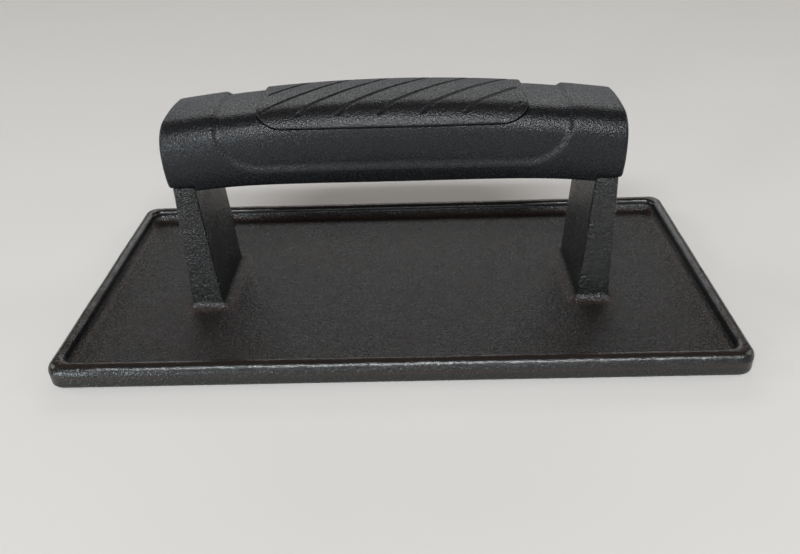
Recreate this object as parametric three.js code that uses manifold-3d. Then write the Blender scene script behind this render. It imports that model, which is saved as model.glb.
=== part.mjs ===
// Cast iron griddle press: a rimmed plate with two cast posts, and a moulded bridge handle.
// Millimetres, +Z up. The origin is the middle of the plate's flat underside.
// X runs along the plate and the handle, Y runs across them.
import * as THREE from "three";
import { mergeVertices } from "three/addons/utils/BufferGeometryUtils.js";
import Module from "manifold-3d";

const wasm = await Module();
wasm.setup();

// ---------- driving dimensions ----------

// Plate
const plateLength = 211.7;
const plateWidth = 104;
const plateCornerRadius = 5;
const rimHeight = 7.6;
const rimWidth = 4.6;
const rimEdgeRadius = 1.3;
const panFloor = 3.3;
const panFilletRadius = 2.2;
const panCornerRadius = 3.5;

// Posts, cast in one with the plate
const postTop = 48;
const postThickness = 7.2;
const postDepth = 30;
const postDraftAcross = 1.8;
const postDraftAlong = 0.4;
const postFilletRadius = 2.2;
const postEndInset = 0.6;

// Tongue and lug that each post carries inside the handle
const tongueThickness = 3.8;
const lugRise = 5.5;
const lugThickness = 5;
const lugEdge = 6;

// Handle, its cross section and its arch
const handleLength = 138;
const handleHeight = 25;
const handleDepth = 35;
const archRadius = 495;
const archOverrun = 4;
const crownRadius = 84;
const shoulderRadius = 9;
const sideRadius = 23.4;
const bulgeDrop = 12;

// Underside of the handle, measured down from the posts' shoulders
const middleDrop = 0.8;
const quarterDrop = 0.2;
const lipDrop = 1.4;
const lipRun = 24.4;

// Shallow recess that the hand closes on
const recessDepth = 0.6;
const recessRise = 5.6;
const recessCornerRadius = 11.5;
const collarLength = 15.7;

// Shell walls and core
const roofThickness = 3.1;
const endWallThickness = 3.1;
const sideWallThickness = 7.9;
const ribThickness = 2.4;
const ribSpacing = 44;

// Underside cover
const coverThickness = 2.4;
const coverSetBack = 0.3;
const coverBossRadius = 6;

// Grip pad and its grooves
const padLength = 80;
const padThickness = 2;
const padEdgeAngle = THREE.MathUtils.degToRad(18.5);
const padCornerRadius = 6;
const grooveDepth = 0.9;
const grooveWidth = 1.6;
const groovePitch = 12.4;
const grooveAngle = THREE.MathUtils.degToRad(42.5);
const grooveCount = 8;
const grooveShift = 6.2;
const grooveMargin = 1.8;

// Screws and nuts, metric size 5
const screwInset = 7.2;
const screwDiameter = 5;
const screwLength = 16;
const screwHeadDiameter = 9.5;
const screwHeadHeight = 2.75;
const screwHeadRecess = 0.3;
const screwHeadFlat = 5.2;
const screwDomeHeight = 2;
const screwTipChamfer = 0.8;
const hexKeyAcrossFlats = 3;
const hexKeyDepth = 1.6;
const nutAcrossFlats = 8;
const nutThickness = 4;

// Clearances
const seatGap = 0.3;
const holeClearance = 0.5;
const tongueClearance = 1.1;
const tongueEndClearance = 0.6;
const webBelowNut = 2.5;

// ---------- derived places ----------

const handleHalf = handleLength / 2;
const postOuter = handleHalf - postEndInset;
const postInner = postOuter - postThickness;
const tongueOuter = handleHalf - endWallThickness - tongueEndClearance;
const coreWidth = handleDepth - 2 * sideWallThickness;
const tongueDepth = coreWidth - 2 * tongueClearance;
const lugUnderside = postTop + lugRise;
const lugTop = lugUnderside + lugThickness;
const handleTop = postTop + handleHeight;
const undersideMiddle = postTop - middleDrop;
const undersideQuarter = postTop - quarterDrop;
const undersideLip = postTop - lipDrop;
const screwX = postInner - screwInset;
const screwHoleRadius = (screwDiameter + holeClearance) / 2;
const screwSeat = undersideLip + coverSetBack + screwHeadRecess + screwHeadHeight;
const nutSeat = lugTop + seatGap + webBelowNut;
const halfDepth = handleDepth / 2;

// Overshoots of the cutting and joining solids
const bite = 1;
const tall = 40;
const wide = 80;

// ---------- solids from geometries ----------

function solid(geometry) {
  const bare = geometry.index ? geometry.toNonIndexed() : geometry.clone();
  bare.deleteAttribute("normal");
  bare.deleteAttribute("uv");
  const merged = mergeVertices(bare, 1e-4);
  const mesh = new wasm.Mesh({
    numProp: 3,
    vertProperties: merged.attributes.position.array,
    triVerts: new Uint32Array(merged.index.array),
  });
  return new wasm.Manifold(mesh);
}

function geometryOf(body) {
  const mesh = body.getMesh();
  const geometry = new THREE.BufferGeometry();
  geometry.setAttribute("position", new THREE.BufferAttribute(mesh.vertProperties, 3));
  geometry.setIndex(new THREE.BufferAttribute(mesh.triVerts, 1));
  geometry.computeVertexNormals();
  return geometry;
}

// A box given by its lowest and highest corners.
function block(low, high) {
  const size = high.map((value, i) => value - low[i]);
  const middle = high.map((value, i) => (value + low[i]) / 2);
  return solid(new THREE.BoxGeometry(...size).translate(...middle));
}

function cylinder(radius, x, bottom, top) {
  const geometry = new THREE.CylinderGeometry(radius, radius, top - bottom, 24);
  return solid(geometry.rotateX(Math.PI / 2).translate(x, 0, (top + bottom) / 2));
}

// An upright hexagon with two flats parallel to X.
function hexagon(acrossFlats, x, bottom, top) {
  const geometry = new THREE.CylinderGeometry(
    acrossFlats / Math.sqrt(3),
    acrossFlats / Math.sqrt(3),
    top - bottom,
    6,
  );
  geometry.rotateX(Math.PI / 2).rotateZ(Math.PI / 2);
  return solid(geometry.translate(x, 0, (top + bottom) / 2));
}

// A shape drawn in plan, extruded upwards.
function upright(shape, bottom, top, curveSegments = 4) {
  const geometry = new THREE.ExtrudeGeometry(shape, {
    depth: top - bottom,
    bevelEnabled: false,
    curveSegments,
  });
  return solid(geometry.translate(0, 0, bottom));
}

// A shape drawn in the XZ plane, extruded along Y about the middle.
function acrossY(shape, depth, curveSegments = 6) {
  const geometry = new THREE.ExtrudeGeometry(shape, { depth, bevelEnabled: false, curveSegments });
  return solid(geometry.rotateX(Math.PI / 2).translate(0, depth / 2, 0));
}

// A shape drawn in the YZ plane, extruded along X about x.
function alongX(shape, depth, x, curveSegments = 6) {
  const geometry = new THREE.ExtrudeGeometry(shape, { depth, bevelEnabled: false, curveSegments });
  const turn = new THREE.Matrix4().makeBasis(
    new THREE.Vector3(0, 1, 0),
    new THREE.Vector3(0, 0, 1),
    new THREE.Vector3(1, 0, 0),
  );
  return solid(geometry.applyMatrix4(turn).translate(x - depth / 2, 0, 0));
}

function roundedRectangle(halfX, halfY, radius) {
  const shape = new THREE.Shape();
  shape.absarc(halfX - radius, halfY - radius, radius, 0, Math.PI / 2);
  shape.absarc(radius - halfX, halfY - radius, radius, Math.PI / 2, Math.PI);
  shape.absarc(radius - halfX, radius - halfY, radius, Math.PI, 1.5 * Math.PI);
  shape.absarc(halfX - radius, radius - halfY, radius, 1.5 * Math.PI, 2 * Math.PI);
  return shape;
}

// A rounded rectangle whose top and bottom edges are rounded over too.
function softSlab(halfX, halfY, cornerRadius, edgeRadius, bottom, top) {
  const shape = roundedRectangle(
    halfX - edgeRadius,
    halfY - edgeRadius,
    cornerRadius - edgeRadius,
  );
  const geometry = new THREE.ExtrudeGeometry(shape, {
    depth: top - bottom - 2 * edgeRadius,
    bevelThickness: edgeRadius,
    bevelSize: edgeRadius,
    bevelSegments: 3,
    curveSegments: 4,
  });
  return solid(geometry.translate(0, 0, bottom + edgeRadius));
}

// ---------- plate casting ----------

// The outline of a drafted post with a concave fillet at its foot, from one face to the other.
function draftedOutline(topFrom, topTo, footFrom, footTo) {
  const radius = postFilletRadius;
  const embedded = panFloor - bite;
  const centreZ = panFloor + radius;
  const shape = new THREE.Shape();
  shape.moveTo(footFrom - radius, embedded);
  shape.lineTo(footFrom - radius, panFloor);
  shape.absarc(footFrom - radius, centreZ, radius, 1.5 * Math.PI, 2 * Math.PI);
  shape.lineTo(topFrom, postTop);
  shape.lineTo(topTo, postTop);
  shape.lineTo(footTo, centreZ);
  shape.absarc(footTo + radius, centreZ, radius, Math.PI, 1.5 * Math.PI);
  shape.lineTo(footTo + radius, embedded);
  shape.closePath();
  return shape;
}

function post(side) {
  const outline = [postInner, postOuter].map((x) => side * x).sort((a, b) => a - b);
  const front = draftedOutline(
    outline[0],
    outline[1],
    outline[0] - postDraftAcross,
    outline[1] + postDraftAcross,
  );
  const half = postDepth / 2;
  const profile = draftedOutline(-half, half, -half - postDraftAlong, half + postDraftAlong);
  const across = acrossY(front, postDepth + wide, 2);
  const middle = (outline[0] + outline[1]) / 2;
  return across.intersect(alongX(profile, postThickness + wide, middle, 2));
}

// The tongue rises from the post's shoulder, and the lug reaches inwards from it.
function tongueAndLug(side) {
  const bounds = (from, to) => [Math.min(side * from, side * to), Math.max(side * from, side * to)];
  const [tongueLow, tongueHigh] = bounds(tongueOuter - tongueThickness, tongueOuter);
  const [lugLow, lugHigh] = bounds(screwX - lugEdge, tongueOuter);
  const tongue = block(
    [tongueLow, -tongueDepth / 2, postTop - bite],
    [tongueHigh, tongueDepth / 2, lugTop],
  );
  const lug = block([lugLow, -tongueDepth / 2, lugUnderside], [lugHigh, tongueDepth / 2, lugTop]);
  const hole = cylinder(screwHoleRadius, side * screwX, lugUnderside - bite, lugTop + bite);
  return tongue.add(lug).subtract(hole);
}

function pressPlate() {
  const halfX = plateLength / 2;
  const halfY = plateWidth / 2;
  const slab = softSlab(halfX, halfY, plateCornerRadius, rimEdgeRadius, 0, rimHeight);
  const pan = softSlab(
    halfX - rimWidth,
    halfY - rimWidth,
    panCornerRadius,
    panFilletRadius,
    panFloor,
    rimHeight + tall,
  );
  let casting = slab.subtract(pan);
  for (const side of [-1, 1]) casting = casting.add(post(side)).add(tongueAndLug(side));
  return casting;
}

// ---------- handle cross section ----------

// The arch that the crown of the handle follows, in the XZ plane.
class Arch extends THREE.Curve {
  getPoint(t, target = new THREE.Vector3()) {
    const angle = Math.asin((handleHalf + archOverrun) / archRadius) * (2 * t - 1);
    const drop = archRadius * (1 - Math.cos(angle));
    return target.set(archRadius * Math.sin(angle), 0, handleTop - drop);
  }
}

// Height of the crown line at x.
function crownHeight(x) {
  return handleTop - archRadius + Math.sqrt(archRadius ** 2 - x ** 2);
}

// The section is drawn with its crown at the origin and its underside towards +v: a broad crown
// arc, a shoulder arc tangent to it, and a bulging side arc tangent to the shoulder.
const sideCentre = new THREE.Vector2(halfDepth - sideRadius, bulgeDrop);
const shoulderCentre = (() => {
  const crownCentre = new THREE.Vector2(0, crownRadius);
  const fromCrown = crownRadius - shoulderRadius;
  const fromSide = sideRadius - shoulderRadius;
  const apart = sideCentre.clone().sub(crownCentre);
  const along = (fromCrown ** 2 - fromSide ** 2 + apart.lengthSq()) / (2 * apart.length());
  const off = Math.sqrt(fromCrown ** 2 - along ** 2);
  const unit = apart.clone().normalize();
  const normal = new THREE.Vector2(-unit.y, unit.x);
  return crownCentre.addScaledVector(unit, along).addScaledVector(normal, off);
})();
const crownAngle = Math.atan2(shoulderCentre.x, crownRadius - shoulderCentre.y);
const sideAngle = Math.atan2(
  sideCentre.y - shoulderCentre.y,
  shoulderCentre.x - sideCentre.x,
);

// Adds the arcs over the top from the right shoulder at elevation start to the left one.
function overTheTop(shape, inset, start, backwards = false) {
  const radius = shoulderRadius - inset;
  const { x, y } = shoulderCentre;
  const crown = crownRadius - inset;
  if (backwards) {
    shape.absarc(-x, y, radius, Math.PI + start, 1.5 * Math.PI - crownAngle, false);
    shape.absarc(0, crownRadius, crown, 1.5 * Math.PI - crownAngle, 1.5 * Math.PI + crownAngle);
    shape.absarc(x, y, radius, 1.5 * Math.PI + crownAngle, 2 * Math.PI - start, false);
    return;
  }
  shape.absarc(x, y, radius, -start, -Math.PI / 2 + crownAngle, true);
  shape.absarc(0, crownRadius, crown, -Math.PI / 2 + crownAngle, -Math.PI / 2 - crownAngle, true);
  shape.absarc(-x, y, radius, -Math.PI / 2 - crownAngle, -Math.PI + start, true);
}

function fullSection(inset) {
  const reach = handleTop - undersideLip + bite;
  const radius = sideRadius - inset;
  const foot = Math.asin((reach - bulgeDrop) / sideRadius);
  const shape = new THREE.Shape();
  shape.absarc(sideCentre.x, sideCentre.y, radius, foot, -sideAngle, true);
  overTheTop(shape, inset, sideAngle);
  shape.absarc(-sideCentre.x, sideCentre.y, radius, -Math.PI + sideAngle, -Math.PI - foot, true);
  shape.closePath();
  return shape;
}

// A strip of the section over the crown and shoulders, between two depths below the surface.
function stripSection(outerInset, innerInset, edgeAngle) {
  const shape = new THREE.Shape();
  overTheTop(shape, outerInset, edgeAngle);
  overTheTop(shape, innerInset, edgeAngle, true);
  shape.closePath();
  return shape;
}

// Sweeps a section along the arch. The path's frame maps (u, v) to (-Y, -Z).
function sweep(shape) {
  const geometry = new THREE.ExtrudeGeometry(shape, {
    steps: 14,
    extrudePath: new Arch(),
    curveSegments: 2,
    bevelEnabled: false,
  });
  return solid(geometry);
}

// ---------- handle shell ----------

// The underside line from the left lip to the right one, raised by lift.
function undersidePoints(lift) {
  const lip = postInner - seatGap;
  const quarter = lip - lipRun;
  return [
    [-lip, undersideLip],
    [-quarter, undersideQuarter],
    [0, undersideMiddle],
    [quarter, undersideQuarter],
    [lip, undersideLip],
  ].map(([x, z]) => new THREE.Vector2(x, z + lift));
}

// Everything of the handle between its ends and above its underside, seen from the front.
function handleOutline() {
  const lip = undersidePoints(0);
  const last = lip[lip.length - 1].x;
  const seat = postTop + seatGap;
  const shape = new THREE.Shape();
  shape.moveTo(-handleHalf, handleTop + tall);
  shape.lineTo(-handleHalf, seat);
  shape.lineTo(-last, seat);
  shape.lineTo(-last, lip[0].y);
  shape.splineThru(lip.slice(1));
  shape.lineTo(last, seat);
  shape.lineTo(handleHalf, seat);
  shape.lineTo(handleHalf, handleTop + tall);
  shape.closePath();
  return shape;
}

// The front outline of the hand recess, open at the top.
function recessOutline() {
  const half = handleHalf - collarLength;
  const radius = recessCornerRadius;
  const centreZ = postTop + recessRise + radius;
  const top = handleTop + tall;
  const shape = new THREE.Shape();
  shape.moveTo(half, top);
  shape.lineTo(-half, top);
  shape.absarc(radius - half, centreZ, radius, Math.PI, 1.5 * Math.PI);
  shape.absarc(half - radius, centreZ, radius, 1.5 * Math.PI, 2 * Math.PI);
  shape.closePath();
  return shape;
}

function padEdgeHalfWidth() {
  return shoulderCentre.x + shoulderRadius * Math.cos(padEdgeAngle);
}

// The pad's own space, grown by a gap on every side that touches the shell.
function padSpace(gap, topInset) {
  const angle = padEdgeAngle - gap / shoulderRadius;
  const strip = sweep(stripSection(topInset, padThickness + gap, angle));
  const plan = roundedRectangle(
    padLength / 2 + gap,
    padEdgeHalfWidth() + gap,
    padCornerRadius + gap,
  );
  return strip.intersect(upright(plan, undersideLip, handleTop + tall));
}

// The web above each lug, with a side slot that traps the nut.
function nutBoss(side) {
  const half = coverBossRadius;
  const bottom = lugTop + seatGap;
  const web = block(
    [side * screwX - half, -coreWidth / 2 - bite, bottom],
    [side * screwX + half, coreWidth / 2 + bite, handleTop],
  );
  const corner = nutAcrossFlats / Math.sqrt(3) + seatGap;
  const slotEnds = [side * (screwX + corner), side * (screwX - half - bite)].sort((a, b) => a - b);
  const slotHalf = nutAcrossFlats / 2 + seatGap;
  const slot = block(
    [slotEnds[0], -slotHalf, nutSeat - seatGap],
    [slotEnds[1], slotHalf, nutSeat + nutThickness + seatGap],
  );
  const tip = screwSeat + screwLength + seatGap;
  const hole = cylinder(screwHoleRadius, side * screwX, bottom - bite, tip);
  return { web, cuts: slot.add(hole) };
}

function handleShell() {
  const full = sweep(fullSection(0));
  const recessed = sweep(fullSection(recessDepth));
  const collars = full.subtract(acrossY(recessOutline(), wide, 3));
  const outer = recessed.add(collars).intersect(acrossY(handleOutline(), wide, 5));

  // The core is straight sided below the bulge, so it draws out through the underside.
  const coreHalf = handleHalf - endWallThickness;
  const low = [-coreHalf, -coreWidth / 2, undersideLip - tall];
  const bulge = crownHeight(coreHalf) - bulgeDrop;
  const roof = block(low, [coreHalf, coreWidth / 2, handleTop]);
  const mouth = block(low, [coreHalf, coreWidth / 2, bulge]);
  const core = roof.intersect(sweep(fullSection(recessDepth + roofThickness))).add(mouth);
  let shell = outer.subtract(core);

  const ribBottom = undersideQuarter + coverSetBack + coverThickness + seatGap;
  const withinRoof = sweep(fullSection(recessDepth + roofThickness / 2));
  for (const side of [-1, 1]) {
    const x = (side * ribSpacing) / 2;
    const rib = block(
      [x - ribThickness / 2, -coreWidth / 2 - bite, ribBottom],
      [x + ribThickness / 2, coreWidth / 2 + bite, handleTop],
    );
    const boss = nutBoss(side);
    shell = shell.add(rib.add(boss.web).intersect(withinRoof)).subtract(boss.cuts);
  }
  return shell.subtract(padSpace(seatGap, -bite));
}

// ---------- underside cover ----------

function coverOutline() {
  const lower = undersidePoints(coverSetBack);
  const upper = undersidePoints(coverSetBack + coverThickness).reverse();
  const shape = new THREE.Shape();
  shape.moveTo(lower[0].x, lower[0].y);
  shape.splineThru(lower.slice(1));
  shape.lineTo(upper[0].x, upper[0].y);
  shape.splineThru(upper.slice(1));
  shape.closePath();
  return shape;
}

function handleCover() {
  let cover = acrossY(coverOutline(), coreWidth - 2 * seatGap, 5);
  for (const side of [-1, 1]) {
    const x = side * screwX;
    const top = lugUnderside - seatGap;
    const boss = cylinder(coverBossRadius, x, undersideQuarter + coverSetBack, top);
    const headSpace = screwHeadDiameter / 2 + seatGap;
    const counterbore = cylinder(headSpace, x, undersideLip - tall, screwSeat);
    const hole = cylinder(screwHoleRadius, x, undersideLip, lugUnderside);
    cover = cover.add(boss).subtract(counterbore).subtract(hole);
  }
  return cover;
}

// ---------- grip pad ----------

function gripPad() {
  const pad = padSpace(0, 0);
  const core = padSpace(0, grooveDepth);
  const field = upright(
    roundedRectangle(
      padLength / 2 - grooveMargin,
      padEdgeHalfWidth() - grooveMargin,
      padCornerRadius - grooveMargin,
    ),
    undersideLip,
    handleTop + tall,
  );
  let grooved = pad;
  for (let i = 0; i < grooveCount; i += 1) {
    const x = grooveShift + (i - (grooveCount - 1) / 2) * groovePitch;
    const bar = new THREE.BoxGeometry(wide, grooveWidth, tall);
    bar.rotateZ(grooveAngle).translate(x, 0, handleTop);
    grooved = grooved.subtract(solid(bar).intersect(field));
  }
  return grooved.add(core);
}

// ---------- screws and nuts ----------

// A button-head screw, head down, turned about its own axis.
function screw(side) {
  const radius = screwDiameter / 2;
  const headRadius = screwHeadDiameter / 2;
  const seat = screwSeat - seatGap;
  const headBottom = seat - screwHeadHeight;
  const tip = seat + screwLength;
  const flat = screwHeadFlat / 2;
  const outline = [[0, headBottom]];
  for (let i = 0; i <= 4; i += 1) {
    const angle = (i / 4) * (Math.PI / 2);
    outline.push([
      flat + (headRadius - flat) * Math.sin(angle),
      headBottom + screwDomeHeight * (1 - Math.cos(angle)),
    ]);
  }
  outline.push(
    [headRadius, seat],
    [radius, seat],
    [radius, tip - screwTipChamfer],
    [radius - screwTipChamfer, tip],
    [0, tip],
  );
  const points = outline.map(([r, z]) => new THREE.Vector2(r, z));
  const x = side * screwX;
  const body = solid(new THREE.LatheGeometry(points, 24).rotateX(Math.PI / 2).translate(x, 0, 0));
  const socket = hexagon(hexKeyAcrossFlats, x, headBottom - bite, headBottom + hexKeyDepth);
  return body.subtract(socket);
}

function nut(side) {
  const x = side * screwX;
  const top = nutSeat + nutThickness;
  const bore = cylinder(screwHoleRadius, x, nutSeat - bite, top + bite);
  return hexagon(nutAcrossFlats, x, nutSeat, top).subtract(bore);
}

// ---------- assembly ----------

const castIron = { color: 0x2c2a28, roughness: 0.55, metalness: 0.5 };
const mouldedPlastic = { color: 0x232628, roughness: 0.6, metalness: 0 };
const gripPlastic = { color: 0x292d2e, roughness: 0.65, metalness: 0 };
const blackSteel = { color: 0x55585a, roughness: 0.4, metalness: 0.9 };

const press = new THREE.Group();

function place(name, body, finish) {
  const mesh = new THREE.Mesh(geometryOf(body), new THREE.MeshStandardMaterial(finish));
  mesh.name = name;
  press.add(mesh);
}

place("press_plate", pressPlate(), castIron);
place("handle_shell", handleShell(), mouldedPlastic);
place("handle_cover", handleCover(), mouldedPlastic);
place("grip_pad", gripPad(), gripPlastic);
for (const [label, side] of [["left", -1], ["right", 1]]) {
  place(`${label}_screw`, screw(side), blackSteel);
  place(`${label}_nut`, nut(side), blackSteel);
}

export default press;
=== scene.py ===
"""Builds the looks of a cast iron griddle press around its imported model.

The press is a rimmed plate cast in one with two posts, and a moulded handle that bridges them.
Lengths are in metres, +Z is up, X runs along the plate and the handle, and Y runs across them.
"""

import math

import bmesh
import bpy
from bpy.props import FloatProperty, FloatVectorProperty, IntProperty, PointerProperty
from mathutils import Matrix, Vector, noise


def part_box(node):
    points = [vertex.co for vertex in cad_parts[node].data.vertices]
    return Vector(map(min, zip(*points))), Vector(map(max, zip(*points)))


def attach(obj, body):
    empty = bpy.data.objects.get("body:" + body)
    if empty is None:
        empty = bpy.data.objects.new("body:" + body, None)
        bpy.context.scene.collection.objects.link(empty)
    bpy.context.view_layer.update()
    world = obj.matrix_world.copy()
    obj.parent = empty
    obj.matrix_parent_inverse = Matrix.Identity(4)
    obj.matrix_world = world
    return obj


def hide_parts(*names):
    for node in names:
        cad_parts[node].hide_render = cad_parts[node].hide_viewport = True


bl_info = {
    "name": "Griddle Press",
    "version": (1, 0, 0),
    "blender": (4, 5, 0),
    "location": "3D View > Sidebar > Press",
    "description": "Builds the pieces, finishes and stage of a cast iron griddle press",
    "category": "Add Mesh",
}

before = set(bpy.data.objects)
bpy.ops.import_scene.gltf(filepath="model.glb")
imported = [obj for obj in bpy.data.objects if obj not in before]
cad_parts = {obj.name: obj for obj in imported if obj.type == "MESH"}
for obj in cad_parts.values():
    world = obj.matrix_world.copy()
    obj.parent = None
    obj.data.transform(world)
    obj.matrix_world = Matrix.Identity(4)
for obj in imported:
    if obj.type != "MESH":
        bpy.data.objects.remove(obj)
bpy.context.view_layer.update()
_, PLATE_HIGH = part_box("press_plate")
SHELL_LOW, SHELL_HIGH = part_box("handle_shell")
COVER_LOW, COVER_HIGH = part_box("handle_cover")
_, PAD_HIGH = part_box("grip_pad")
SCREW_LOW, SCREW_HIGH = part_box("right_screw")

MM = 0.001


# ---------- settings ----------


def length(name, description, default):
    """A length that a user can change, in metres."""
    return FloatProperty(
        name=name, description=description, default=default, unit="LENGTH", precision=5
    )


def angle(name, description, degrees):
    """An angle that a user can change, given in degrees and kept in radians."""
    return FloatProperty(
        name=name, description=description, default=math.radians(degrees), subtype="ANGLE"
    )


def colour(name, description, default):
    """A linear colour that a user can change."""
    return FloatVectorProperty(
        name=name, description=description, default=default, size=3, min=0, max=1, subtype="COLOR"
    )


def factor(name, description, default):
    """A share from 0 to 1 that a user can change."""
    return FloatProperty(
        name=name, description=description, default=default, min=0, max=1, subtype="FACTOR"
    )


class PlateSizes(bpy.types.PropertyGroup):
    """Sizes of the plate casting and of its posts."""

    corner: length("Corner radius", "Radius of the plate's corners in plan", 5 * MM)
    rim_height: length("Rim height", "Top of the rim above the pressing face", 7.6 * MM)
    rim_width: length("Rim width", "From the outside to the rim's inner wall", 4.6 * MM)
    base_edge: length("Base edge", "Rounding of the plate's lower edge", 1.3 * MM)
    rim_edge: length("Rim edge", "Rounding of the rim's upper outer edge", 2.7 * MM)
    inner_edge: length("Inner edge", "Rounding of the rim's inner edge", 1.7 * MM)
    pan_floor: length("Pan floor", "Height of the pan's floor", 3.3 * MM)
    pan_fillet: length("Pan fillet", "Fillet between the rim and the floor", 2.5 * MM)
    pan_corner: length("Pan corner", "Radius of the pan's corners in plan", 3.5 * MM)
    post_top: length("Post top", "Height of the posts' shoulders", 48 * MM)
    post_thickness: length("Post thickness", "Along X, at the shoulder", 7.2 * MM)
    post_depth: length("Post depth", "Along Y, at the shoulder", 30 * MM)
    draft_across: length("Draft on the faces", "Growth of each wide face at the foot", 1.8 * MM)
    draft_along: length("Draft on the edges", "Growth of each narrow face at the foot", 0.4 * MM)
    post_fillet: length("Foot fillet height", "Height of the fillet at a post's foot", 2.4 * MM)
    fillet_inner: length("Foot fillet inside", "Its reach towards the middle", 4.6 * MM)
    fillet_outer: length("Foot fillet outside", "Its reach towards the rim", 2.4 * MM)
    fillet_along: length("Foot fillet ends", "Its reach along the narrow faces", 3.7 * MM)
    post_edge: length("Post edge", "Rounding of a post's upright edges", 0.8 * MM)
    end_inset: length("End inset", "From the handle's end to the post's outer face", 0.6 * MM)
    parting: length("Parting line", "Depth of the groove on the inner corners", 0.45 * MM)
    waver: length("Waver", "How far the cast surface wanders inwards", 0.16 * MM)


class HandleSizes(bpy.types.PropertyGroup):
    """Sizes of the moulded handle, its recess and its underside."""

    arch: length("Arch radius", "Radius of the arch that the crown follows", 495 * MM)
    crown: length("Crown radius", "Radius of the section over the crown", 84 * MM)
    shoulder: length("Shoulder radius", "Radius of the section's shoulders", 9 * MM)
    side: length("Side radius", "Radius of the section's bulging sides", 23.4 * MM)
    bulge_drop: length("Bulge drop", "From the crown down to the widest line", 12 * MM)
    end_round: length("End rounding", "Rounding of the handle's ends", 0.9 * MM)
    foot_round: length("Foot rounding", "Rounding of the lower edges", 1.1 * MM)
    recess_depth: length("Recess depth", "Depth of the hand recess", 1.0 * MM)
    recess_half: length("Recess half length", "From the middle to the collars", 53.6 * MM)
    recess_floor: length("Recess floor", "Height of the recess's lower edge", 53.1 * MM)
    recess_corner: length("Recess corner", "Radius of the recess's lower corners", 14.5 * MM)
    recess_slope: length("Recess slope", "Width of the slope around the recess", 2.3 * MM)
    seat: length("Seat", "Height of the handle's seats on the posts", 48.3 * MM)
    lip: length("Lip place", "From the middle to the lips inside the posts", 60.9 * MM)
    middle: length("Underside middle", "Height of the underside at the middle", 47.2 * MM)
    quarter: length("Underside quarter", "Height of the underside's higher line", 47.8 * MM)
    quarter_place: length("Quarter place", "Where that higher line lies along X", 36.5 * MM)
    end_wall: length("End wall", "Thickness of the end walls", 3.1 * MM)
    side_wall: length("Side wall", "Thickness of the side walls at the mouth", 7.9 * MM)
    roof: length("Roof", "Thickness of the roof over the cavity", 3.7 * MM)
    station: length("Station", "Spacing of the mesh along the handle", 0.62 * MM)


class PadSizes(bpy.types.PropertyGroup):
    """Sizes of the grip pad and its grooves."""

    thickness: length("Thickness", "Thickness of the pad", 2 * MM)
    edge_height: length("Edge height", "Height of the pad's lower edges", 66.6 * MM)
    corner: length("Corner radius", "Radius of the pad's corners over the surface", 8 * MM)
    edge_round: length("Edge rounding", "Rounding of the pad's upper edge", 0.45 * MM)
    gap: length("Gap", "Gap around the pad", 0.28 * MM)
    groove_depth: length("Groove depth", "Depth of the grooves", 0.75 * MM)
    groove_width: length("Groove width", "Width of the grooves", 1.35 * MM)
    groove_pitch: length("Groove pitch", "Spacing of the grooves along X", 12.4 * MM)
    groove_angle: angle("Groove angle", "Slant of the grooves from X", 42.5)
    groove_shift: length("Groove shift", "How far the pattern lies to the right", 6.2 * MM)
    groove_count: IntProperty(name="Groove count", description="Number of grooves", default=8)
    end_margin: length("End margin", "From the pad's ends to the grooves", 1.7 * MM)
    side_margin: length("Side margin", "From the pad's lower edges to the grooves", 3.6 * MM)
    grain: length("Mesh spacing", "Spacing of the mesh over the pad", 0.27 * MM)


class FixingSizes(bpy.types.PropertyGroup):
    """Sizes of the underside cover and the screws."""

    cover_round: length("Cover edge", "Rounding of the cover's edges", 0.4 * MM)
    boss: length("Boss radius", "Radius of the cover's bosses", 6 * MM)
    boss_top: length("Boss top", "Height of the bosses' upper faces", 53.2 * MM)
    head_space: length("Head space", "Radius of the counterbores", 5.05 * MM)
    head_seat: length("Head seat", "Height of the counterbores' floors", 49.95 * MM)
    shank: length("Shank radius", "Radius of the screws' shanks", 2.5 * MM)
    hole: length("Hole radius", "Radius of the screw holes", 2.75 * MM)
    head: length("Head radius", "Radius of the screw heads", 4.75 * MM)
    head_flat: length("Head flat", "Radius of the flat on the screw heads", 2.6 * MM)
    head_dome: length("Head dome", "Height of the domed part of the heads", 2 * MM)
    head_height: length("Head height", "Height of the screw heads", 2.75 * MM)
    key: length("Key width", "Width across the flats of the hexagon socket", 3 * MM)
    key_depth: length("Key depth", "Depth of the hexagon socket", 1.6 * MM)


class Finishes(bpy.types.PropertyGroup):
    """Colours and sheens of the finishes."""

    iron: colour("Iron", "Seasoned cast iron", (0.0056, 0.0058, 0.0058))
    iron_brown: colour("Seasoning", "Brown tint of thick seasoning", (0.03, 0.014, 0.008))
    iron_rough: factor("Iron roughness", "Roughness of the seasoned iron", 0.3)
    plastic: colour("Plastic", "Moulded handle", (0.0035, 0.004, 0.005))
    plastic_rough: factor("Plastic roughness", "Roughness of the moulded grain", 0.3)
    pad: colour("Pad", "Grip pad", (0.0045, 0.0045, 0.005))
    pad_rough: factor("Pad roughness", "Roughness of the grip pad", 0.34)
    steel: colour("Steel", "Black oxide on the screws and nuts", (0.05, 0.05, 0.052))
    floor: colour("Floor", "Pale floor", (0.67, 0.65, 0.625))


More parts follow.
